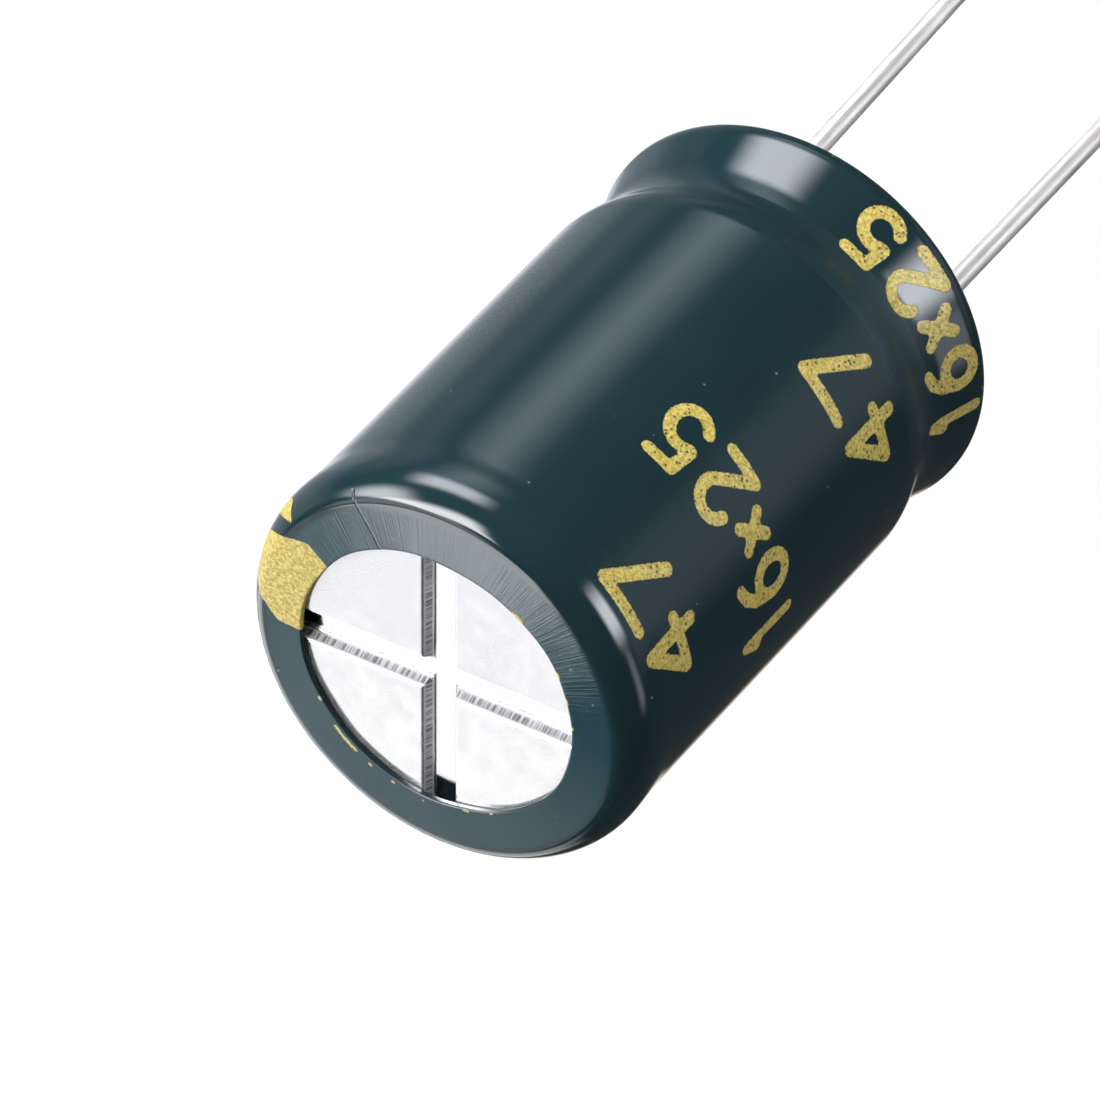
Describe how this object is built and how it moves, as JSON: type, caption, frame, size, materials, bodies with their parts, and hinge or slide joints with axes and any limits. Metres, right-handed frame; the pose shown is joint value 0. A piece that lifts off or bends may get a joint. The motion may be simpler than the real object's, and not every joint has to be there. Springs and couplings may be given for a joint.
{
  "type": "electrolytic capacitor",
  "caption": "Radial aluminium electrolytic capacitor: sleeved round can with a crossed vent, beaded neck, rubber seal and wire leads, wound element inside.",
  "frame": {"origin": "on the board, at the middle of the seal's resting face, midway between the leads", "axes": "+Z along the body towards the vent, -Z along the leads; the leads lie on X, negative at +X and positive at -X"},
  "size_m": [0.0166, 0.0166, 0.0503],
  "materials": {
    "sleeve": "glossy dark teal shrink sleeve",
    "can": "bright drawn aluminium",
    "seal": "matt moulded rubber",
    "element": "paper soaked with electrolyte, foil edges between",
    "tape": "clear tan tape",
    "tab": "pressed aluminium",
    "lead": "satin tin on copper-clad steel"
  },
  "bodies": {
    "root": {"sleeve": "sleeve", "can": "can", "end_seal": "seal", "wound_element": "element", "winding_tape": "tape", "positive_tab": "tab", "negative_tab": "tab", "positive_lead": "lead", "negative_lead": "lead"}
  },
  "joints": []
}
